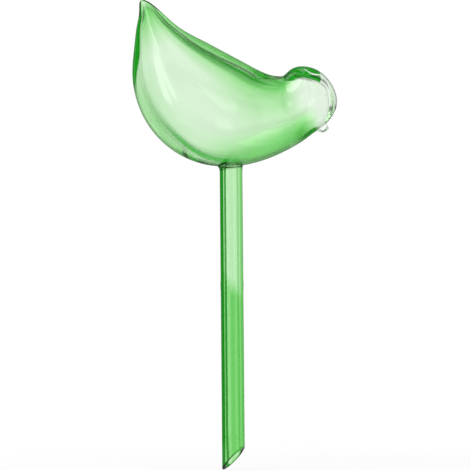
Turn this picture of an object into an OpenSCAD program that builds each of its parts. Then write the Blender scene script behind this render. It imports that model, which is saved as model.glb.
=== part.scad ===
// Bird-shaped glass watering globe: a blown bird that holds the water, on a hollow stem
// that is pushed into the soil. The glassblower makes it from separate pieces of glass and
// fuses them: the body bubble, the head bubble, the sealed tail point, the beak bead, the
// stem's two lengths of tube, and the rod melted round the root of the stem.
//
// Frame: the origin is on the stem's axis, level with the heel of the slanted mouth, where
// the tube becomes a whole round. +Z is up the stem, +X is the way the bird looks.
// Units are millimetres.

/* [Bird] */
// Length of the bird, from the back of its tail to the front of its head
bird_l = 122.5; // [100:0.5:150]
// Height of the bird, from its belly to the tip of its tail
bird_h = 100; // [85:0.5:120]
// Width of the bird across its flanks
bird_w = 57; // [48:0.5:70]
// Glass thickness at the flanks
flank_wall = 1.5; // [1:0.1:2]
// Usual glass thickness along the back and the keel, where the glass gathers
ridge_wall = 2.4; // [1.6:0.1:3]

/* [Stem] */
// Length of the stem, from the heel of its mouth to the belly
stem_l = 168.5; // [110:0.5:230]
// Outer diameter of the stem
stem_d = 13.6; // [11:0.1:16]
// Glass thickness of the stem
stem_wall = 2.4; // [1.5:0.1:3]
// Height of the splice between the two lengths of tube, above the heel of the mouth
splice_h = 97; // [60:0.5:100]
// How far the splice swells out, where the two tubes were pushed together while soft
splice_out = 0.15; // [0.05:0.05:0.5]
// How far the swelling runs along each tube
splice_run = 4; // [2:0.5:6]
// Slope of the slanted mouth, from level
mouth_slope = 46; // [30:1:55]
// Turn of the slanted mouth about the stem, away from the bird's beak
mouth_turn = 24; // [-90:1:90]

/* [Fused pieces] */
// How far the rod melted round the root of the stem stands out from it
root_out = 1.5; // [0.8:0.1:3]
// How far that rod runs down the stem
root_down = 3.8; // [2:0.1:8]
// Diameter of the beak bead
beak_d = 6.2; // [4.6:0.1:7]
// Length of the beak, from the middle of its bead to its tip
beak_l = 3.5; // [3:0.1:6]

/* [Hidden] */

// Sections across the bird from tail to head. Each gives the point on the back and the point
// on the keel, as x then z, then half the width, and then how thick the glass is on the back
// and on the keel. x is in percent of the bird's length from the stem's axis, z in percent of
// its height above the belly, the width in percent of the bird's width, and the thickness in
// percent of the usual one. The first and the last are single points, where the glass closes.
SECTIONS = [
    [-43.8, 99.6, -43.8, 99.6, 0.0, 100, 100],
    [-41.0, 100.0, -44.3, 95.6, 4.0, 60, 100],
    [-37.0, 96.8, -44.6, 90.4, 8.4, 60, 80],
    [-31.8, 91.1, -45.8, 83.0, 14.0, 110, 90],
    [-25.3, 84.1, -46.8, 73.0, 21.0, 112, 120],
    [-18.0, 78.6, -47.8, 61.0, 28.4, 145, 155],
    [-10.2, 73.6, -47.4, 48.0, 35.6, 168, 195],
    [-2.0, 68.1, -44.1, 33.9, 42.2, 165, 220],
    [6.1, 62.7, -37.9, 20.9, 47.0, 150, 220],
    [13.1, 58.0, -27.4, 9.0, 49.6, 135, 190],
    [18.4, 55.1, -13.1, 1.4, 49.6, 82, 110],
    [22.0, 54.0, 3.2, 0.2, 46.4, 65, 65],
    [24.9, 53.8, 18.0, 4.4, 41.6, 50, 60],
    [26.8, 54.8, 29.0, 10.4, 38.0, 55, 65],
    [29.6, 57.8, 36.0, 15.5, 37.4, 80, 60],
    [33.9, 59.6, 40.8, 19.8, 37.4, 165, 50],
    [39.2, 59.0, 44.4, 22.5, 35.0, 190, 50],
    [44.5, 55.9, 47.8, 26.6, 29.0, 165, 72],
    [49.0, 50.1, 50.5, 31.0, 20.0, 140, 116],
    [51.3, 44.5, 51.8, 34.8, 10.0, 165, 150],
    [52.2, 39.6, 52.2, 39.6, 0.0, 168, 168],
];
LAST = len(SECTIONS) - 1;
// Places along the bird, counted in sections: the tail's seam, the hollow's tail end and
// where it is full, the seam at the nape, and where the glass of the head's sides starts to
// thicken and where it is as thick as on the back and the keel
TAIL_SEAM = 1;
HOLLOW_END = 1.5;
HOLLOW_FULL = 3;
NAPE_SEAM = 13;
FACE_FROM = 13.5;
FACE_FULL = 17.5;
// The beak: where it sits along the keel, how much of its radius its middle stands off the
// glass there, and how far its tip droops from level
BEAK_SEAT = 16.18;
BEAK_OFF = 0.1;
BEAK_DROOP = 5;
// The part of the bird that meets the stem
ROOT_FROM = 8;
ROOT_TO = 12;
// Rings to a section and points to a ring
RINGS = 3;
ROUND = 32;
STEP = 1 / RINGS;
// Small steps along and around the bird that give its surface direction
ALONG = 0.02;
AROUND = 1;

stem_r = stem_d / 2;
bore_r = stem_r - stem_wall;
// The splice stays below the root of the stem, however short the stem is
splice_z = min(splice_h, stem_l - root_down - 2 * splice_run);
// Half the height of the slanted mouth, from its middle to its heel or toe
mouth_half = stem_r * tan(mouth_slope);
// How far the tools that cut glass run past what they cut
SPARE = 1;
$fn = 96;

// A section as millimetres in the frame: the back, the keel, half the width, and the glass on
// the back and on the keel. Past the closed ends the back and the keel change places, so that
// the ends come out round.
function section(i) =
    i < 0 ? turned(section(-i)) :
    i > LAST ? turned(section(2 * LAST - i)) :
    let (s = SECTIONS[i])
    [[s[0] * bird_l, s[1] * bird_h] / 100 + [0, stem_l],
     [s[2] * bird_l, s[3] * bird_h] / 100 + [0, stem_l],
     s[4] * bird_w / 100, s[5] * ridge_wall / 100, s[6] * ridge_wall / 100];
function turned(s) = [s[1], s[0], -s[2], s[4], s[3]];

// The section at place t along the bird, on a smooth curve through the listed ones
function blend(a, b, c, d, f) =
    0.5 * (2 * b + (c - a) * f + (2 * a - 5 * b + 4 * c - d) * f * f
        + (3 * b - 3 * c + d - a) * f * f * f);
function section_at(t) =
    let (i = min(floor(t), LAST - 1), a = section(i - 1), b = section(i), c = section(i + 1), d = section(i + 2))
    [for (k = [0:4]) blend(a[k], b[k], c[k], d[k], t - i)];

// The middle of a section, and the point on the outside of the glass at angle a around it:
// 0 is on the back, 180 on the keel
function middle(s) = let (m = (s[0] + s[1]) / 2) [m[0], 0, m[1]];
function outside(t, a) =
    let (s = section_at(t), half = (s[0] - s[1]) / 2)
    middle(s) + [half[0] * cos(a), s[2] * sin(a), half[1] * cos(a)];
function unit(v) = v / norm(v);
function outward(t, a) =
    unit(cross(outside(t + ALONG, a) - outside(t - ALONG, a), outside(t, a + AROUND) - outside(t, a - AROUND)));

// The thickness of the glass: from flank to ridge round each section, and all round the face
function smooth(f) = f * f * (3 - 2 * f);
function face(t) = smooth(max(0, min(1, (t - FACE_FROM) / (FACE_FULL - FACE_FROM))));
function wall_at(t, a) =
    let (s = section_at(t), ridge = s[4] + (s[3] - s[4]) * (1 + cos(a)) / 2,
         share = max(pow(cos(a), 2), face(t)))
    flank_wall + (ridge - flank_wall) * share;

// The point on the inside of the glass. The hollow closes in a round end inside the tail.
function closing(t) =
    t >= HOLLOW_FULL ? 1 : sqrt(max(0, 1 - pow((HOLLOW_FULL - t) / (HOLLOW_FULL - HOLLOW_END), 2)));
function inside(t, a) =
    let (m = middle(section_at(t)))
    m + (outside(t, a) - wall_at(t, a) * outward(t, a) - m) * closing(t);

// Rings of points round the bird, from place t0 to place t1
function around() = [for (k = [0:ROUND - 1]) 360 * k / ROUND];
function places(t0, t1) = [for (k = [0:round(abs(t1 - t0) * RINGS)]) t0 + sign(t1 - t0) * k * STEP];
function outer_rings(t0, t1) = [for (t = places(t0, t1)) [for (a = around()) outside(t, a)]];
function inner_rings(t0, t1) = [for (t = places(t0, t1)) [for (a = around()) inside(t, a)]];
function end_middle(t) = middle(section_at(t));

// Closed skin from a first point, through rings of points, to a last point
module skin(first, rings, last) {
    n = len(rings);
    end = n * ROUND + 1;
    function at(ring, k) = 1 + ring * ROUND + k % ROUND;
    polyhedron(
        points = concat([first], [for (ring = rings) each ring], [last]),
        faces = concat(
            [for (k = [0:ROUND - 1]) [0, at(0, k + 1), at(0, k)]],
            [for (r = [0:n - 2], k = [0:ROUND - 1]) each [
                [at(r, k), at(r + 1, k + 1), at(r + 1, k)],
                [at(r, k), at(r, k + 1), at(r + 1, k + 1)]]],
            [for (k = [0:ROUND - 1]) [end, at(n - 1, k), at(n - 1, k + 1)]]
        )
    );
}

// The bird's outer form as a filled solid between two places, to cut seats with
module filled_form(t0, t1) {
    skin(end_middle(t0), outer_rings(t0, t1), end_middle(t1));
}

// The way for water up the stem's axis, between two heights
module bore(z0, z1) {
    translate([0, 0, z0]) cylinder(r = bore_r, h = z1 - z0);
}

// The body bubble: closed in the tail, open at the nape and at the root of the stem
module body_bubble() {
    color([0.62, 0.9, 0.58]) difference() {
        skin(
            end_middle(TAIL_SEAM),
            concat(outer_rings(TAIL_SEAM, NAPE_SEAM), inner_rings(NAPE_SEAM, HOLLOW_END + STEP)),
            end_middle(HOLLOW_END)
        );
        bore(stem_l - root_down, stem_l + bird_h / 5);
    }
}

// The head bubble, open at the nape
module head_bubble() {
    color([0.86, 0.97, 0.84]) skin(
        end_middle(LAST),
        concat(outer_rings(LAST - STEP, NAPE_SEAM), inner_rings(NAPE_SEAM, LAST - STEP)),
        end_middle(LAST) - [wall_at(LAST, 0), 0, 0]
    );
}

// The solid point of clear glass that seals the tail
module tail_point() {
    color([0.93, 0.98, 0.92]) skin(end_middle(0), outer_rings(STEP, TAIL_SEAM), end_middle(TAIL_SEAM));
}

// The drop of clear glass fused under the head as a beak: a ball drawn out to a small tip
module beak_bead() {
    ball_r = beak_d / 2;
    tip_r = ball_r / 2;
    // The tip always stands a little way past the ball
    drawn = max(beak_l - tip_r, 1.1 * (ball_r - tip_r));
    taper = asin((ball_r - tip_r) / drawn);
    seat = outside(BEAK_SEAT, 180) + BEAK_OFF * ball_r * outward(BEAK_SEAT, 180);
    color([0.95, 0.99, 0.95]) difference() {
        translate(seat) rotate([0, 90 + BEAK_DROOP, 0]) rotate_extrude($fn = 40) polygon(concat(
            [for (k = [0:8]) let (a = -90 + k * (90 + taper) / 8) ball_r * [cos(a), sin(a)]],
            [for (k = [0:4]) let (a = taper + k * (90 - taper) / 4) tip_r * [cos(a), sin(a)] + [0, drawn]]
        ));
        filled_form(BEAK_SEAT - 2, BEAK_SEAT + 2);
    }
}

// The glass rod melted round the root of the stem, hollow-curved between stem and belly
module stem_root() {
    color([0.45, 0.8, 0.42]) difference() {
        rotate_extrude() difference() {
            translate([stem_r, stem_l - root_down]) square([root_out, root_down + bird_h / 20]);
            translate([stem_r + root_out, stem_l - root_down]) scale([root_out, root_down]) circle(r = 1);
        }
        filled_form(ROOT_FROM, ROOT_TO);
    }
}

// A length of stem tube from its plain end to the splice, where it swells a little
module tube(plain_z, joined_z) {
    run_z = joined_z + sign(plain_z - joined_z) * splice_run;
    rotate_extrude() polygon([
        [bore_r, plain_z], [stem_r, plain_z], [stem_r, run_z], [stem_r + splice_out, joined_z], [bore_r, joined_z]
    ]);
}

// The upper length of the stem, its top cut to sit on the belly
module upper_stem() {
    color([0.6, 0.88, 0.56]) difference() {
        tube(stem_l + bird_h / 20, splice_z);
        filled_form(ROOT_FROM, ROOT_TO);
    }
}

// The lower length of the stem, with the slanted mouth that goes into the soil
module lower_stem() {
    cut = 4 * stem_r + 4 * mouth_half;
    color([0.3, 0.72, 0.27]) difference() {
        tube(-2 * mouth_half - SPARE, splice_z);
        translate([0, 0, -mouth_half]) rotate([0, 0, mouth_turn - 180]) rotate([0, mouth_slope, 0])
            translate([-cut / 2, -cut / 2, -cut]) cube(cut);
    }
}

body_bubble();
head_bubble();
tail_point();
beak_bead();
stem_root();
upper_stem();
lower_stem();
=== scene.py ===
"""Watering globe: smooth glass for a blown bird on its hollow stem, in a plain bright studio."""

import math

import bpy
import numpy as np
from bpy.props import FloatProperty, FloatVectorProperty, PointerProperty
from mathutils import Matrix, Vector


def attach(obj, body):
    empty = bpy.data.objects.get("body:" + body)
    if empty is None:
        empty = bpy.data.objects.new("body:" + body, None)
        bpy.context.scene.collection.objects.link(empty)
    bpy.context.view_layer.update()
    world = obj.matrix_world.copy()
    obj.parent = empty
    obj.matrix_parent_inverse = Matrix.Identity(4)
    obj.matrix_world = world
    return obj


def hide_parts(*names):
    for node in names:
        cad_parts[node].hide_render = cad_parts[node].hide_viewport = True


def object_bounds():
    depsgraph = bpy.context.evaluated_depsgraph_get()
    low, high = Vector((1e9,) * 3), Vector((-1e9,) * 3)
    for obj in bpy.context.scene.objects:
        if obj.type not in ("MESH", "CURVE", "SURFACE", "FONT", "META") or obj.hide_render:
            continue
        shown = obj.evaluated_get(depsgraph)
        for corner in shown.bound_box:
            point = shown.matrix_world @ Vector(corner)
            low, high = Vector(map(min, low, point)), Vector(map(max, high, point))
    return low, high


bl_info = {
    "name": "Watering Globe",
    "version": (1, 0, 0),
    "blender": (4, 5, 0),
    "location": "View3D > Sidebar > Watering Globe",
    "description": "Blown glass bird on a hollow stem, for watering a plant pot",
    "category": "Add Mesh",
}

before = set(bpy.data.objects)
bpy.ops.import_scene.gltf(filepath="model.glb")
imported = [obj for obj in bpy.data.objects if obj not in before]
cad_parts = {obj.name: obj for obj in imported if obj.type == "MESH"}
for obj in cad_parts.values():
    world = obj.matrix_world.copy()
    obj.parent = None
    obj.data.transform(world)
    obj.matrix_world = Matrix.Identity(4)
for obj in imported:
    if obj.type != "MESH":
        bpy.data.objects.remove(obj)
CAD_BOX = [list(corner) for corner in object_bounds()]
MM = 0.001

# Sections across the bird from tail to head: the back and the keel as x then z, half the width,
# and the glass on the back and on the keel. Lengths are in percent of the bird's length, height
# and width, from the stem's axis and the belly, and glass is in percent of its usual thickness.
SECTIONS = np.array([
    (-43.8, 99.6, -43.8, 99.6, 0.0, 100, 100),
    (-41.0, 100.0, -44.3, 95.6, 4.0, 60, 100),
    (-37.0, 96.8, -44.6, 90.4, 8.4, 60, 80),
    (-31.8, 91.1, -45.8, 83.0, 14.0, 110, 90),
    (-25.3, 84.1, -46.8, 73.0, 21.0, 112, 120),
    (-18.0, 78.6, -47.8, 61.0, 28.4, 145, 155),
    (-10.2, 73.6, -47.4, 48.0, 35.6, 168, 195),
    (-2.0, 68.1, -44.1, 33.9, 42.2, 165, 220),
    (6.1, 62.7, -37.9, 20.9, 47.0, 150, 220),
    (13.1, 58.0, -27.4, 9.0, 49.6, 135, 190),
    (18.4, 55.1, -13.1, 1.4, 49.6, 82, 110),
    (22.0, 54.0, 3.2, 0.2, 46.4, 65, 65),
    (24.9, 53.8, 18.0, 4.4, 41.6, 50, 60),
    (26.8, 54.8, 29.0, 10.4, 38.0, 55, 65),
    (29.6, 57.8, 36.0, 15.5, 37.4, 80, 60),
    (33.9, 59.6, 40.8, 19.8, 37.4, 165, 50),
    (39.2, 59.0, 44.4, 22.5, 35.0, 190, 50),
    (44.5, 55.9, 47.8, 26.6, 29.0, 165, 72),
    (49.0, 50.1, 50.5, 31.0, 20.0, 140, 116),
    (51.3, 44.5, 51.8, 34.8, 10.0, 165, 150),
    (52.2, 39.6, 52.2, 39.6, 0.0, 168, 168),
])
LAST = len(SECTIONS) - 1
# Places along the bird, in sections: where the hollow ends in the tail and is full, where the
# glass of the face begins to thicken and is thickest, and the nape, where the head begins
HOLLOW_END = 1.5
HOLLOW_FULL = 3.0
FACE_FROM = 13.5
FACE_FULL = 17.5
NAPE_SEAM = 13.0
# How far the head's glass laps over the body's, and how near the nape each has an extra ring, in
# sections, so that the skin looks even across the seam
NAPE_LAP = 0.001
NAPE_RING = 0.01
# The bead's place on the keel in sections, how far its middle stands off in parts of its radius,
# its droop in degrees, and how far below its seat its glass is smeared, in sections
BEAK_SEAT = 16.18
BEAK_OFF = 0.1
BEAK_DROOP = 5.0
SMEAR_DOWN = 0.75
# Fineness of the glass skins: rings to a section and points to a ring
RINGS = 10
ROUND = 128
# Height of the lowest straight ring of the stem, just above the slanted mouth
TUBE_FROM = 4 * MM
# Fineness of the stem: rings along the tube, at its root, within the belly's glass and at the rim
TUBE_RINGS = 120
ROOT_RINGS = 20
TOP_RINGS = 4
RIM_RINGS = 24
# Fineness of the bead: points round it, along its ball and along its tip
BEAD_ROUND = 64
BALL_RINGS = 40
TIP_RINGS = 16
# Small step along and round the bird by which the slope of its skin is measured
NUDGE = 0.01
# Which way the tail's point and the front of the face look, as x, y and z
TAIL_OUT = np.array((-0.7, 0, 0.7))
FACE_OUT = np.array((1, 0, 0))
# Two faces that meet at more than this many degrees have an edge between them
CREASE = 35
# The hair of air that shows where two pieces of glass were fused
SEAM = 0.03 * MM
# Painted highlights along the stem, pale streaks where the studio's tall lights gleam: place across
# it and half width in millimetres, and how much paler
PAINTED_HIGHLIGHTS = ((-1.9, 0.6, 0.55), (2.6, 0.5, 0.35))
# Bright strips of the studio that only glass shows: turn and half width in degrees, lean, height
# of the low and the high end, and brightness
STRIPS = (
    (-47, 4, 0.0, -0.12, 0.55, 3.0),
    (4, 2, 0.25, 0.15, 0.6, 0.9),
    (33, 4, 0.0, -0.35, 0.6, 0.8),
)
# Where the camera looks, and how far it is tipped sideways, as a slope
AIM = (2.05 * MM, 0, 127.3 * MM)
TIPPED = 0.0085


def size(name, description, default):
    return FloatProperty(name=name, description=description, default=default,
                         unit="LENGTH", subtype="DISTANCE")


def colour(name, description, default):
    return FloatVectorProperty(name=name, description=description, default=default, size=3,
                               subtype="COLOR", min=0.0, max=1.0)


class BirdSizes(bpy.types.PropertyGroup):
    length: size("Length", "From the back of the tail to the front of the head", 122.5 * MM)
    height: size("Height", "From the belly to the tip of the tail", 100 * MM)
    width: size("Width", "Across the flanks", 57 * MM)
    flank_glass: size("Flank glass", "Glass thickness at the flanks", 1.5 * MM)
    ridge_glass: size("Ridge glass", "Usual glass thickness on the back and the keel", 2.4 * MM)
    beak_ball: size("Beak ball", "Diameter of the beak bead", 6.2 * MM)
    beak_length: size("Beak length", "From the middle of the bead to its tip", 3.5 * MM)
    beak_smear: size("Beak smear", "From the middle of the bead to where its glass ends", 5 * MM)


class StemSizes(bpy.types.PropertyGroup):
    length: size("Length", "From the heel of the mouth to the belly", 168.5 * MM)
    diameter: size("Diameter", "Outer diameter of the tube", 13.6 * MM)
    glass: size("Glass", "Glass thickness of the tube", 2.4 * MM)
    splice: size("Splice", "Height of the splice above the heel", 97 * MM)
    splice_out: size("Splice swelling", "How far the splice stands out", 0.15 * MM)
    splice_run: size("Splice run", "How far the swelling runs along each tube", 4 * MM)
    root_out: size("Root swelling", "How far the glass at the root stands out", 1.5 * MM)
    root_down: size("Root run", "How far that glass runs down the stem", 3.8 * MM)
    lip: size("Lip", "How far the flame rounded the rim of the mouth", 0.8 * MM)
    slope: FloatProperty(name="Slope", description="Slope of the slanted mouth, from level",
                         default=math.radians(46), subtype="ANGLE", unit="ROTATION")
    turn: FloatProperty(name="Turn", description="Turn of the slanted mouth about the stem",
                        default=math.radians(24), subtype="ANGLE", unit="ROTATION")


class GlassColours(bpy.types.PropertyGroup):
    clear: colour("Clear", "Skin of the glass where no green has gathered", (1.0, 1.0, 1.0))
    pale: colour("Pale", "Skin where a little green has gathered", (0.74, 0.93, 0.71))
    fresh: colour("Fresh", "Skin where much green has gathered", (0.47, 0.83, 0.43))
    deep: colour("Deep", "Skin where the green is deepest", (0.13, 0.60, 0.10))
    darkest: colour("Darkest", "Skin of the crown and of the tail's rear edge", (0.01, 0.12, 0.01))
    # Rim, edge and line are colours of painted shade: darker green where the outline, deep green
    # places and the hollow are seen edge on
    rim: colour("Rim", "Skin of the outline, where it is seen edge on", (0.10, 0.24, 0.09))
    edge: colour("Edge", "Skin of deep green places seen nearly edge on", (0.0, 0.14, 0.0))
    line: colour("Line", "Skin of the hollow where it is seen nearly edge on", (0.0, 0.32, 0.0))
    depth: colour("Depth", "Colour that the thickness of the glass takes on", (0.107, 0.777, 0.0))


class StageSizes(bpy.types.PropertyGroup):
    floor: size("Floor", "Radius of the floor", 0.4)
    camera: size("Camera", "Distance of the camera from the stem", 2.2)
    picture: size("Picture", "Height of what the picture shows at the stem", 282 * MM)


# ---- shader expressions ----


class Value:
    """A shader socket that takes part in Python sums, each of which adds its Math node."""

    def __init__(self, tree, socket):
        self.tree = tree
        self.socket = socket

    def maths(self, operation, *others):
        return self.tree.node("ShaderNodeMath", {"operation": operation}, [self, *others])

    def __add__(self, other):
        return self.maths("ADD", other)

    __radd__ = __add__

    def __sub__(self, other):
        return self.maths("SUBTRACT", other)

    def __rsub__(self, other):
        return self.tree.node("ShaderNodeMath", {"operation": "SUBTRACT"}, [other, self])

    def __mul__(self, other):
        return self.maths("MULTIPLY", other)

    __rmul__ = __mul__

    def __truediv__(self, other):
        return self.maths("DIVIDE", other)

    def __pow__(self, other):
        return self.maths("POWER", other)

    def step(self, low, high, to_low=0.0, to_high=1.0):
        """Smooth rise from low to high."""
        return self.tree.node("ShaderNodeMapRange", {"interpolation_type": "SMOOTHSTEP"}, {
            "Value": self, "From Min": low, "From Max": high, "To Min": to_low, "To Max": to_high})


class Tree:
    """The node tree of a material or of the world, with one way to add any node."""

    def __init__(self, owner):
        owner.use_nodes = True
        self.nodes = owner.node_tree.nodes
        self.links = owner.node_tree.links
        self.nodes.clear()

    def node(self, kind, settings=None, inputs=None, output=0):
        node = self.nodes.new(kind)
        for key, setting in (settings or {}).items():
            setattr(node, key, setting)
        pairs = enumerate(inputs) if isinstance(inputs, list) else (inputs or {}).items()
        for key, given in pairs:
            if isinstance(given, Value):
                self.links.new(given.socket, node.inputs[key])
            else:
                node.inputs[key].default_value = given
        return Value(self, node.outputs[output]) if node.outputs else None

    def mix(self, factor, first, second):
        """Colour between two colours, whose sockets on the node are the seventh and the eighth."""
        share = factor.maths("MAXIMUM", 0.0).maths("MINIMUM", 1.0)
        given = {0: share, 6: rgba(first), 7: rgba(second)}
        return self.node("ShaderNodeMix", {"data_type": "RGBA"}, given, output=2)

    def scaled(self, vector, scale):
        return self.node("ShaderNodeVectorMath", {"operation": "MULTIPLY"}, [vector, scale])

    def split(self, vector):
        """The x, y and z of a vector."""
        return [self.node("ShaderNodeSeparateXYZ", None, [vector], output=i) for i in range(3)]


def rgba(given):
    return given if isinstance(given, Value) else (*given, 1.0)


# ---- forms ----


def curve_through(rows):
    """Second derivatives of the smooth curve through evenly spaced rows."""
    count = len(rows)
    lhs = np.eye(count)
    rhs = np.zeros_like(rows)
    for i in range(1, count - 1):
        lhs[i, i - 1:i + 2] = 1, 4, 1
        rhs[i] = 6 * (rows[i + 1] - 2 * rows[i] + rows[i - 1])
    return np.linalg.solve(lhs, rhs)


class BirdForm:
    """Outside and inside of the bird's glass: t runs from tail to head in sections, and a goes
    round each section in radians, from the back."""

    # Sections mirrored past each end, with back and keel swapped, so that the ends are round
    PAD = 4

    def __init__(self, bird, stem):
        unit = np.array((bird.length, bird.height, bird.length, bird.height, bird.width,
                         bird.ridge_glass, bird.ridge_glass)) / 100
        base = np.array((0, stem.length, 0, stem.length, 0, 0, 0))
        rows = SECTIONS * unit + base
        turn = [2, 3, 0, 1, 4, 6, 5]
        flip = np.array((1, 1, 1, 1, -1, 1, 1))
        before = rows[self.PAD:0:-1][:, turn] * flip
        after = rows[-2:-self.PAD - 2:-1][:, turn] * flip
        self.rows = np.vstack((before, rows, after))
        self.bends = curve_through(self.rows)
        self.flank = bird.flank_glass

    def section(self, t):
        place = t + self.PAD
        i = np.clip(np.floor(place).astype(int), 0, len(self.rows) - 2)
        f = (place - i)[..., None]
        low, high = self.rows[i], self.rows[i + 1]
        bend_low, bend_high = self.bends[i], self.bends[i + 1]
        return (bend_low * (1 - f) ** 3 + bend_high * f ** 3) / 6 \
            + (low - bend_low / 6) * (1 - f) + (high - bend_high / 6) * f

    def middle(self, t):
        s = self.section(t)
        return np.stack(((s[..., 0] + s[..., 2]) / 2, 0 * t, (s[..., 1] + s[..., 3]) / 2), -1)

    def outside(self, t, a):
        s = self.section(t)
        reach = np.stack(((s[..., 0] - s[..., 2]) / 2 * np.cos(a), s[..., 4] * np.sin(a),
                          (s[..., 1] - s[..., 3]) / 2 * np.cos(a)), -1)
        return self.middle(t) + reach

    def outward(self, t, a):
        along = self.outside(t + NUDGE, a) - self.outside(t - NUDGE, a)
        around = self.outside(t, a + NUDGE) - self.outside(t, a - NUDGE)
        normal = np.cross(along, around)
        return normal / np.linalg.norm(normal, axis=-1, keepdims=True)

    def glass(self, t, a):
        s = self.section(t)
        ridge = s[..., 6] + (s[..., 5] - s[..., 6]) * (1 + np.cos(a)) / 2
        share = np.maximum(np.cos(a) ** 2, rise(t, FACE_FROM, FACE_FULL))
        return self.flank + (ridge - self.flank) * share

    def inside(self, t, a):
        gone = np.clip((HOLLOW_FULL - t) / (HOLLOW_FULL - HOLLOW_END), 0, 1)
        closing = np.sqrt(np.maximum(0, 1 - gone ** 2))[..., None]
        middle = self.middle(t)
        skin_inside = self.outside(t, a) - self.glass(t, a)[..., None] * self.outward(t, a)
        return middle + (skin_inside - middle) * closing

    def rings(self, places, form, **given):
        t, a = np.meshgrid(places, np.arange(ROUND) * 2 * math.pi / ROUND, indexing="ij")
        return form(t, a, **given), t, a

    def swollen(self, t, a, swell=0.0):
        return self.outside(t, a) + swell * self.outward(t, a)

    def outer_skin(self, swell):
        """Closed skin of the whole outside, moved out by swell."""
        places = np.linspace(0, LAST, LAST * RINGS + 1)[1:-1]
        rings, _, _ = self.rings(places, self.swollen, swell=swell)
        tail, face = self.middle(np.array((0.0, LAST)))
        return skin(tail + swell * TAIL_OUT, rings, face + swell * FACE_OUT)

    def shell(self, low, high):
        """Glass between two places, with its points' t, a and whether they are inside: the tail
        closes it where low is 0, and the face where high is the last section."""
        close = high - NAPE_RING if low == 0 else low + NAPE_RING
        outer = np.sort(np.append(np.linspace(low, high, int((high - low) * RINGS) + 1), close))
        if low == 0:
            closing = 1 - np.cos(np.linspace(0, math.pi / 2, 4 * RINGS))
            closed = HOLLOW_END + (HOLLOW_FULL - HOLLOW_END) * closing
            open_part = np.linspace(HOLLOW_FULL, high, int((high - HOLLOW_FULL) * RINGS) + 1)
            open_part = np.sort(np.append(open_part, close))
            inner = np.concatenate((closed, open_part[1:]))[:0:-1]
            parts = [self.rings(outer[1:], self.outside), self.rings(inner, self.inside)]
            ends = self.middle(np.array((0.0, HOLLOW_END)))
        else:
            parts = [self.rings(outer[-2::-1], self.outside), self.rings(outer[:-1], self.inside)]
            ends = np.array((self.middle(np.array(float(LAST))), parts[1][0][-1].mean(0)))
        rings, t, a = (np.concatenate([part[i] for part in parts]) for i in range(3))
        within = np.concatenate([np.full(part[1].shape, i) for i, part in enumerate(parts)])
        points, faces = skin(ends[0], rings, ends[1])
        if high == LAST:
            faces = [face[::-1] for face in faces]
        first, last = (0, HOLLOW_END) if low == 0 else (LAST, LAST)
        return points, faces, np.concatenate(([first], t.ravel(), [last])), \
            np.concatenate(([0], a.ravel(), [0])), np.concatenate(([0], within.ravel(), [1]))


def skin(first, rings, last):
    """Closed skin from a first point, through rings of points, to a last point."""
    count, around = rings.shape[:2]
    points = np.vstack((first[None], rings.reshape(-1, 3), last[None]))
    end = len(points) - 1
    faces = []
    for k in range(around):
        n = (k + 1) % around
        faces.append((0, 1 + k, 1 + n))
        faces.append((end, end - around + n, end - around + k))
        for r in range(count - 1):
            low, high = 1 + r * around, 1 + (r + 1) * around
            faces.append((low + k, high + k, high + n, low + n))
    return points, faces


def turned(profile, around=ROUND):
    """Closed skin made by turning a profile of radius and height, with both ends on the axis."""
    angle = np.arange(around) * 2 * math.pi / around
    profile = np.array(profile)
    radius, height = profile[1:-1, 0, None], profile[1:-1, 1, None]
    rings = np.stack((radius * np.cos(angle), radius * np.sin(angle), height + 0 * angle), -1)
    first = np.array((0, 0, profile[0, 1]))
    last = np.array((0, 0, profile[-1, 1]))
    points, faces = skin(first, rings, last)
    return points, [face[::-1] for face in faces]


def new_piece(name, points, faces):
    mesh = bpy.data.meshes.new(name)
    mesh.from_pydata([tuple(p) for p in points], [], [tuple(f) for f in faces])
    mesh.update()
    piece = bpy.data.objects.new(name, mesh)
    bpy.context.scene.collection.objects.link(piece)
    return piece


def cut(piece, tool, operation="DIFFERENCE"):
    """Cuts a tool out of a piece or melts it on, and takes the tool away."""
    modifier = piece.modifiers.new("cut", "BOOLEAN")
    modifier.operation = operation
    modifier.solver = "EXACT"
    modifier.object = tool
    apply_modifiers(piece)
    mesh = tool.data
    bpy.data.objects.remove(tool)
    bpy.data.meshes.remove(mesh)


def apply_modifiers(piece):
    graph = bpy.context.evaluated_depsgraph_get()
    graph.update()
    made = bpy.data.meshes.new_from_object(piece.evaluated_get(graph))
    old = piece.data
    piece.modifiers.clear()
    piece.data = made
    made.name = piece.name
    bpy.data.meshes.remove(old)


def smooth(piece):
    for face in piece.data.polygons:
        face.use_smooth = True
    piece.data.set_sharp_from_angle(angle=math.radians(CREASE))


def paint(piece, name, values):
    """Keeps a number on each point of a piece, for its material to read."""
    layer = piece.data.attributes.new(name, "FLOAT", "POINT")
    layer.data.foreach_set("value", np.asarray(values, dtype=np.float32))


def rise(value, low, high):
    f = np.clip((value - low) / (high - low), 0, 1)
    return f * f * (3 - 2 * f)


# ---- glass ----


def green_gathered(t, a):
    """How much green has gathered at a place of the bird: deep at the tail, on the back and under
    the throat, and fading from the nape over the head."""
    back, keel = np.maximum(np.cos(a), 0), np.maximum(-np.cos(a), 0)
    body = 0.08 + 0.45 * (1 - rise(t, 1.5, 5.2)) + 0.12 * rise(t, 9, 12.5) \
        + 0.14 * rise(np.cos(a), -0.2, 0.6) * rise(t, 7, 10) \
        + 0.34 * rise(back, 0.45, 0.95) * rise(t, 1.5, 4) \
        + 0.34 * rise(keel, 0.1, 0.95) * rise(t, 9, 11.5)
    head = 0.08 * (1 - rise(t, 17, 18.5)) \
        + (0.20 + 0.32 * rise(back, 0.45, 0.95)) * (1 - rise(t, 12.6, 15.2)) \
        + (0.34 + 0.16 * rise(t, 13, 14)) * rise(keel, 0.1, 0.95) * (1 - rise(t, 14.0, 16.4))
    return (body + (head - body) * rise(t, 12.2, 13.8)) * rise(t, 0.6, 1.8)


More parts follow.
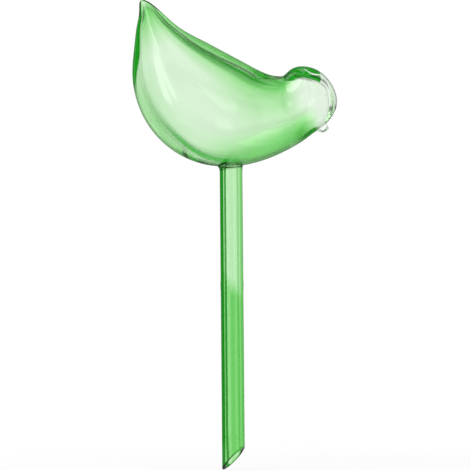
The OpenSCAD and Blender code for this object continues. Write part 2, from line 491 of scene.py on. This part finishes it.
def painted(tree):
    """How much green has gathered, as painted on the points, and how strong the painted shade is
    at the outline and along the lines of the hollow."""
    return [tree.node("ShaderNodeAttribute", {"attribute_name": name}, output="Fac")
            for name in ("gathered", "edge_shade", "line_shade")]


def glass(name, colours, gather, density, wave, rim=0.6, lines=0.0):
    """Clear glass whose green follows how much of it has gathered at a place, with the slight
    waviness of blown glass: density is how strongly its thickness colours the light, wave the
    number of waves to a metre each way, rim how dark the painted shade of the outline is, and lines
    how deep a second painted dark line beside that of the hollow is. Painted shade also darkens
    deep green places and the lines of the hollow where they are seen edge on."""
    material = bpy.data.materials.new(name)
    tree = Tree(material)
    gathered, edge_shade, line_shade = gather(tree)
    tint = tree.mix(gathered * 4, colours.clear, colours.pale)
    tint = tree.mix(gathered * 4 - 1, tint, colours.fresh)
    tint = tree.mix(gathered * 4 - 2, tint, colours.deep)
    tint = tree.mix(gathered * 4 - 3, tint, colours.darkest)
    facing = tree.node("ShaderNodeLayerWeight", None, {"Blend": 0.5}, output="Facing")
    # Painted shade: the outline darkens where it is seen edge on, partly the green of more glass,
    # partly standing in for the dark surroundings that the glass mirrors there
    tint = tree.mix(facing.step(0.62, 0.85) * rim, tint, colours.rim)
    # Painted shade of deep green places seen nearly edge on
    tint = tree.mix((facing + edge_shade * 0.6).step(0.66, 0.80) * edge_shade * 3, tint, colours.edge)
    # Painted shade: dark lines where the hollow is seen nearly edge on, and a second line beside
    # them
    tint = tree.mix(facing.step(0.35, 0.6) * line_shade, tint, colours.line)
    tint = tree.mix(facing.step(0.28, 0.38) * line_shade * -1, tint, colours.deep)
    second = facing.step(0.22, 0.28) * (1 - facing.step(0.36, 0.42))
    tint = tree.mix(second * line_shade * lines, tint, colours.line)
    place = tree.node("ShaderNodeTexCoord", output="Object")
    waves = tree.node("ShaderNodeTexNoise", None, {
        "Vector": tree.scaled(place, wave), "Scale": 1.0, "Detail": 2.0})
    normal = tree.node("ShaderNodeBump", None, {
        "Strength": 0.15, "Distance": 0.6 * MM, "Height": waves})
    skin_glass = tree.node("ShaderNodeBsdfPrincipled", None, {
        "Base Color": tint, "Roughness": 0.0, "IOR": 1.5, "Transmission Weight": 1.0,
        "Normal": normal})
    inner = tree.node("ShaderNodeVolumeAbsorption", None, {
        "Color": (*colours.depth, 1.0), "Density": density})
    joined = tree.node("ShaderNodeAttribute", {"attribute_name": "fused"}, output="Fac")
    nothing = tree.node("ShaderNodeBsdfTransparent")
    shader = tree.node("ShaderNodeMixShader", None, [joined, skin_glass, nothing])
    tree.node("ShaderNodeOutputMaterial", None, {"Surface": shader, "Volume": inner})
    return material


def fuse(piece, marks):
    """Marks the faces where a piece was fused to its neighbour, so that light goes straight on."""
    layers = piece.data.attributes
    layer = layers.get("fused") or layers.new("fused", "FLOAT", "FACE")
    for mark, face in zip(layer.data, piece.data.polygons):
        if marks(face):
            mark.value = 1.0


def at_nape(t):
    """Test for the end faces at the nape, whose points are all at one place along the bird."""
    return lambda face: np.ptp(t[list(face.vertices)]) == 0


def at_root(piece, stem, up):
    """Test for the faces where the stem and the belly meet, which look up or down."""
    points = piece.data.vertices
    reach = stem.diameter / 2 + (stem.root_out if up > 0 else 0)

    def marks(face):
        near = all(math.hypot(p.x, p.y) < reach and -0.1 * MM < p.z - stem.length < 2 * MM
                   for p in (points[i].co for i in face.vertices))
        return near and face.normal.z * up > 0.7

    return marks


class GlassBody(bpy.types.Operator):
    """Blow the green body with its sealed tail, open at the nape, and with the hole for the stem"""
    bl_idname = "watering.body"
    bl_label = "Body"

    def execute(self, context):
        scene = context.scene
        bird, stem, colours = scene.watering_bird, scene.watering_stem, scene.watering_glass
        points, faces, t, a, within = BirdForm(bird, stem).shell(0, NAPE_SEAM)
        piece = new_piece("body_glass", points, faces)
        back, keel = np.maximum(np.cos(a), 0), np.maximum(-np.cos(a), 0)
        paint(piece, "gathered", green_gathered(t, a))
        # Painted shade where the tail's keel and the nape are seen edge on
        keel_edge_shade = rise(keel, 0.3, 0.6) * rise(t, 0.8, 1.6) \
            * (0.6 - 0.45 * rise(t, 4.5, 7.0) + 0.1 * rise(t, 8, 10))
        nape_edge_shade = 0.75 * rise(back, 0.6, 0.9) * rise(t, 12.5, 13)
        paint(piece, "edge_shade", (1 - within) * (keel_edge_shade + nape_edge_shade))
        # Painted shade: dark lines along the back and the keel, inside where the hollow is seen
        # edge on and outside beside it
        along_back = rise(back, 0.4, 0.7) * rise(t, 1.5, 2.5) * (1 - rise(t, 9.5, 11.5))
        along_keel = rise(keel, 0.4, 0.7) * rise(t, 6, 9) * (1 - rise(t, 10.5, 12))
        paint(piece, "line_shade", within * (along_back + along_keel)
              - (1 - within) * (0.55 * along_back + 0.2 * along_keel))
        piece.data.materials.append(glass("Blown green glass", colours, painted, density=50.0,
                                          wave=(60.0, 60.0, 25.0), lines=-1.2))
        fuse(piece, at_nape(t))
        bore = stem.diameter / 2 - stem.glass
        below, above = stem.length - 10 * MM, stem.length + 20 * MM
        hole = turned([(0, below), (bore, below), (bore, above), (0, above)])
        cut(piece, new_piece("hole", *hole))
        fuse(piece, at_root(piece, stem, -1))
        smooth(piece)
        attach(piece, "root")
        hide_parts("body_bubble", "tail_point")
        return {"FINISHED"}


class GlassHead(bpy.types.Operator):
    """Blow the clear head, with the green that gathers at its crown, and painted shade where the
    crown and the throat are seen edge on
    """
    bl_idname = "watering.head"
    bl_label = "Head"

    def execute(self, context):
        scene = context.scene
        bird, stem, colours = scene.watering_bird, scene.watering_stem, scene.watering_glass
        points, faces, t, a, within = BirdForm(bird, stem).shell(NAPE_SEAM - NAPE_LAP, LAST)
        piece = new_piece("head_glass", points, faces)
        paint(piece, "gathered", green_gathered(t, a))
        back = np.cos(a)
        # Painted shade where the crown and the throat are seen edge on, with a pale streak left out
        # across the crown
        low = 0.3 + 0.45 * (1 - rise(t, 12.8, 14.8))
        streak = np.exp(-((back - 0.76 - 0.2 * (t - 16.2) ** 2) / 0.03) ** 2) * rise(t, 15.0, 15.4)
        crown_edge_shade = 0.75 * (1 - streak) * rise((back - low) / (1 - low), 0.0, 0.4) \
            * (1 - rise(t, 16.6, 17.0))
        throat_edge_shade = (0.2 + 0.16 * rise(t, 13.0, 14.5)) * rise(-back, 0.6, 0.9) \
            * (1 - rise(t, 15.0, 16.3))
        paint(piece, "edge_shade", (1 - within) * (crown_edge_shade + throat_edge_shade))
        paint(piece, "line_shade", 0 * t)
        smooth(piece)
        piece.data.materials.append(glass("Clear head glass", colours, painted, density=10.0,
                                          wave=(15.0, 15.0, 15.0)))
        fuse(piece, at_nape(t))
        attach(piece, "root")
        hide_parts("head_bubble")
        return {"FINISHED"}


class GlassBeak(bpy.types.Operator):
    """Melt the drop of clear glass under the head"""
    bl_idname = "watering.beak"
    bl_label = "Beak"

    def execute(self, context):
        scene = context.scene
        bird, stem, colours = scene.watering_bird, scene.watering_stem, scene.watering_glass
        form = BirdForm(bird, stem)
        ball = bird.beak_ball / 2
        tip = ball / 2
        drawn = bird.beak_length - tip
        taper = math.asin((ball - tip) / drawn)
        profile = [(ball * math.cos(a), ball * math.sin(a))
                   for a in np.linspace(-math.pi / 2, taper, BALL_RINGS)]
        profile += [(tip * math.cos(a), tip * math.sin(a) + drawn)
                    for a in np.linspace(taper, math.pi / 2, TIP_RINGS)]
        points, faces = turned(profile, BEAD_ROUND)
        seat, keel = np.array(BEAK_SEAT), np.array(math.pi)
        middle = form.outside(seat, keel) + BEAK_OFF * ball * form.outward(seat, keel)
        at_bead = Matrix.Translation(Vector(middle))
        place = at_bead @ Matrix.Rotation(math.radians(90 + BEAK_DROOP), 4, "Y")
        piece = new_piece("beak_glass", [place @ Vector(p) for p in points], faces)
        smear = [(0, -ball)] + [(ball * (1 - f ** 1.2), bird.beak_smear * f)
                                for f in np.linspace(0, 1, TIP_RINGS)]
        toward = form.outside(seat - SMEAR_DOWN, keel) - middle
        place = at_bead @ Vector(toward).to_track_quat("Z", "Y").to_matrix().to_4x4()
        points, faces = turned(smear, BEAD_ROUND)
        cut(piece, new_piece("smear", [place @ Vector(p) for p in points], faces), "UNION")
        cut(piece, new_piece("head", *form.outer_skin(SEAM)))
        smooth(piece)

        def gather(tree):
            return tree.node("ShaderNodeTexNoise", None, {"Scale": 200.0}) * 0.02, 0.0, 0.0

        piece.data.materials.append(glass("Clear bead glass", colours, gather, density=8.0,
                                          wave=(90.0, 90.0, 90.0), rim=0.0))
        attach(piece, "root")
        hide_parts("beak_bead")
        return {"FINISHED"}


class GlassStem(bpy.types.Operator):
    """Draw the hollow stem: two spliced lengths of tube, with a flared root and a slanted mouth"""
    bl_idname = "watering.stem"
    bl_label = "Stem"

    def execute(self, context):
        scene = context.scene
        bird, stem, colours = scene.watering_bird, scene.watering_stem, scene.watering_glass
        form = BirdForm(bird, stem)
        radius = stem.diameter / 2
        bore = radius - stem.glass
        top = stem.length + bird.height / 20
        angle = np.arange(ROUND) * 2 * math.pi / ROUND
        slope = math.tan(stem.slope)

        def mouth(r):
            """Height of the slanted cut at radius r, its rim rounded by the flame."""
            across = (2 * r - radius - bore) / stem.glass
            lean = r * np.cos(angle + stem.turn) - radius
            return slope * lean + stem.lip * (1 - math.sqrt(max(0, 1 - across ** 2)))

        def outer_radius(z):
            swell = stem.splice_out * max(0, 1 - (abs(z - stem.splice) / stem.splice_run) ** 2) ** 2
            down = (stem.length - z) / stem.root_down
            if down < 1:
                flare = stem.root_out * (0.6 - 0.4 * np.cos(angle))
                swell = swell + flare * (1 - math.sqrt(max(0, 1 - (1 - max(0, down)) ** 2)))
            return radius + swell

        root = stem.length - stem.root_down
        heights = np.concatenate((np.linspace(TUBE_FROM, root, TUBE_RINGS)[:-1],
                                  np.linspace(root, stem.length, ROOT_RINGS)[:-1],
                                  np.linspace(stem.length, top, TOP_RINGS)))
        across_rim = (1 + np.cos(np.linspace(0, math.pi, RIM_RINGS))) / 2
        rings = [(bore, z + 0 * angle) for z in heights[::-1]]
        rings += [(r, mouth(r)) for r in radius - stem.glass * across_rim]
        rings += [(outer_radius(z), z + 0 * angle) for z in heights]
        loops = np.array([np.stack((r * np.cos(angle), r * np.sin(angle), z), -1)
                          for r, z in rings])
        count = len(loops)
        faces = []
        for r in range(count):
            n = (r + 1) % count
            for k in range(ROUND):
                m = (k + 1) % ROUND
                faces.append((r * ROUND + k, n * ROUND + k, n * ROUND + m, r * ROUND + m))
        piece = new_piece("stem_glass", loops.reshape(-1, 3), [face[::-1] for face in faces])
        cut(piece, new_piece("belly", *form.outer_skin(SEAM)))
        smooth(piece)

        def gather(tree):
            place = tree.node("ShaderNodeTexCoord", output="Object")
            side, deep, height = tree.split(place)
            smoke = tree.node("ShaderNodeTexNoise", None, {
                "Vector": tree.scaled(place, (260.0, 260.0, 90.0)), "Scale": 1.0, "Detail": 4.0})
            line = height + side * 0.9 - (smoke - 0.5) * 0.022
            gathered = 0.42 - 0.41 * line.step(stem.splice - 5 * MM, stem.splice + 4 * MM)
            # Painted highlights: the green thins in pale streaks where the lights gleam on the tube
            for at, wide, paler in PAINTED_HIGHLIGHTS:
                off = (side - at * MM) / (wide * MM)
                gathered = gathered * (1 - (off ** 2.0 * -1).maths("EXPONENT") * paler)
            lean = side * math.cos(stem.turn) - deep * math.sin(stem.turn) - radius
            above_cut = height - lean * slope
            gathered = gathered + (1 - above_cut.step(0.4 * MM, 1.4 * MM)) * 0.4
            # Painted shade: the left side of the tube darker where it is seen edge on, and a
            # painted dark line on its right side
            edge_shade = side.step(-0.5 * radius, 0.0, 0.7, 0.0)
            line_shade = side.step(0.0, 0.5 * radius, 0.0, -0.8)
            return gathered, edge_shade, line_shade

        piece.data.materials.append(glass("Stem tube glass", colours, gather, density=150.0,
                                          wave=(40.0, 40.0, 10.0)))
        fuse(piece, at_root(piece, stem, 1))
        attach(piece, "root")
        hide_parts("stem_root", "upper_stem", "lower_stem")
        return {"FINISHED"}


def rays(tree):
    """Whether a ray comes from the camera, from a reflection or through glass."""
    seen, glossy, through = (tree.node("ShaderNodeLightPath", output=name) for name in (
        "Is Camera Ray", "Is Glossy Ray", "Is Transmission Ray"))
    return seen, glossy * (1 - through), through


class Studio(bpy.types.Operator):
    """Set the pale floor, the soft lights, the white surroundings and the camera"""
    bl_idname = "watering.studio"
    bl_label = "Studio"

    def execute(self, context):
        scene = context.scene
        stage = scene.watering_stage
        low, high = CAD_BOX[0][2], CAD_BOX[1][2]
        points = [(stage.floor * math.cos(a), stage.floor * math.sin(a), low)
                  for a in np.arange(64) * 2 * math.pi / 64]
        floor = new_piece("floor", points, [tuple(range(64))])
        material = bpy.data.materials.new("White floor")
        tree = Tree(material)
        seen, mirrored, through = rays(tree)
        place = tree.node("ShaderNodeTexCoord", output="Object")
        away = tree.node("ShaderNodeVectorMath", {"operation": "LENGTH"}, [place], output="Value")
        paper = tree.node("ShaderNodeBsdfDiffuse", None, {"Color": (0.9, 0.9, 0.9, 1)})
        bright = tree.node("ShaderNodeEmission", None, {
            "Color": (1, 1, 1, 1), "Strength": 1 - mirrored * 0.85})
        part = (seen + through + mirrored) * away.step(0.1, stage.floor * 0.9, 0.75, 1.0)
        mixed = tree.node("ShaderNodeMixShader", None, [part, paper, bright])
        tree.node("ShaderNodeOutputMaterial", None, {"Surface": mixed})
        floor.data.materials.append(material)

        world = bpy.data.worlds.new("Studio")
        scene.world = world
        tree = Tree(world)
        seen, mirrored, through = rays(tree)
        glassy = mirrored + through
        x, y, z = tree.split(tree.node("ShaderNodeTexCoord", output="Generated"))
        level = (x * x + y * y).maths("MAXIMUM", 0.0001)
        side = x * y * 2 / level
        between = (side * (y * y - x * x) * 2 / level) ** 2.0
        # Dark curtains between the axes and ahead, for the outlines that glass mirrors
        curtain = between.step(0.35, 0.8)
        ahead = x.maths("ABSOLUTE").maths("MAXIMUM", y.maths("ABSOLUTE")).step(0.62, 0.78)
        # Dark ring well off each axis, which draws the lines of the hollow
        ring = 0
        for axis, weight in ((x, z.step(0.25, 0.45, 0.0, 0.8)), (y, z.step(0.0, 0.35, 0.15, 0.85))):
            off = axis.maths("ABSOLUTE")
            band = off.step(0.70, 0.73) * (1 - off.step(0.85, 0.88))
            ring = band * weight * (1 - x.step(0.42, 0.55)) + ring
        tent = through * (1 - 0.95 * ring) + \
            mirrored * (1 - 0.85 * ahead.maths("MAXIMUM", curtain))
        for turn, half, lean, low_end, high_end, power in STRIPS:
            angle = math.radians(turn)
            toward = ((x + z * lean) * math.sin(angle) - y * math.cos(angle)) / level.maths("SQRT")
            strip = toward.step(*(math.cos(math.radians(half * part)) for part in (1.6, 0.5)))
            strip = strip * z.step(low_end - 0.1, low_end + 0.1)
            strip = strip * (1 - z.step(high_end - 0.15, high_end + 0.1))
            tent = tent + strip * power * glassy
        strength = tent + (1 - glassy) * (0.95 + 0.05 * seen)
        back = tree.node("ShaderNodeBackground", None, {
            "Color": (1, 1, 1, 1), "Strength": strength})
        tree.node("ShaderNodeOutputWorld", None, {"Surface": back})
        scene.cycles.max_bounces = 64
        scene.cycles.glossy_bounces = 48
        scene.cycles.transmission_bounces = 32
        scene.cycles.transparent_max_bounces = 32

        middle = Vector((0, 0, (low + high) / 2))
        light = bpy.data.lights.new("soft light", "AREA")
        light.size, light.energy = 0.8, 4.0
        lamp = bpy.data.objects.new("soft light", light)
        scene.collection.objects.link(lamp)
        lamp.location = middle + Vector((-0.7, -0.5, 1.3))
        lamp.rotation_euler = (lamp.location - middle).to_track_quat("Z", "Y").to_euler()

        data = bpy.data.cameras.new("camera")
        camera = bpy.data.objects.new("camera", data)
        scene.collection.objects.link(camera)
        scene.camera = camera
        data.sensor_width = 36
        data.lens = data.sensor_width * stage.camera / stage.picture
        data.clip_start, data.clip_end = 0.1, 20
        back = Vector((0, -1, 0))
        up = Vector((TIPPED, 0, 1)).normalized()
        turn = Matrix((up.cross(back), up, back)).transposed().to_4x4()
        camera.matrix_world = Matrix.Translation(Vector(AIM) + back * stage.camera) @ turn
        scene.view_settings.view_transform = "Standard"
        return {"FINISHED"}


class GlobePanel(bpy.types.Panel):
    bl_idname = "VIEW3D_PT_watering_globe"
    bl_label = "Watering Globe"
    bl_space_type = "VIEW_3D"
    bl_region_type = "UI"
    bl_category = "Watering Globe"

    def draw(self, context):
        for group in (getattr(context.scene, name) for name in GROUPS):
            column = self.layout.column()
            for name in group.__annotations__:
                column.prop(group, name)
        for operator in OPERATORS:
            self.layout.operator(operator.bl_idname)


GROUPS = {"watering_bird": BirdSizes, "watering_stem": StemSizes,
          "watering_glass": GlassColours, "watering_stage": StageSizes}
OPERATORS = (GlassBody, GlassHead, GlassBeak, GlassStem, Studio)


def register():
    for name, group in GROUPS.items():
        bpy.utils.register_class(group)
        setattr(bpy.types.Scene, name, PointerProperty(type=group))
    for item in (*OPERATORS, GlobePanel):
        bpy.utils.register_class(item)


def unregister():
    for item in (*OPERATORS, GlobePanel):
        bpy.utils.unregister_class(item)
    for name, group in GROUPS.items():
        delattr(bpy.types.Scene, name)
        bpy.utils.unregister_class(group)


def main():
    register()
    bpy.ops.watering.body()
    bpy.ops.watering.head()
    bpy.ops.watering.beak()
    bpy.ops.watering.stem()
    bpy.ops.watering.studio()


if __name__ == "__main__":
    main()
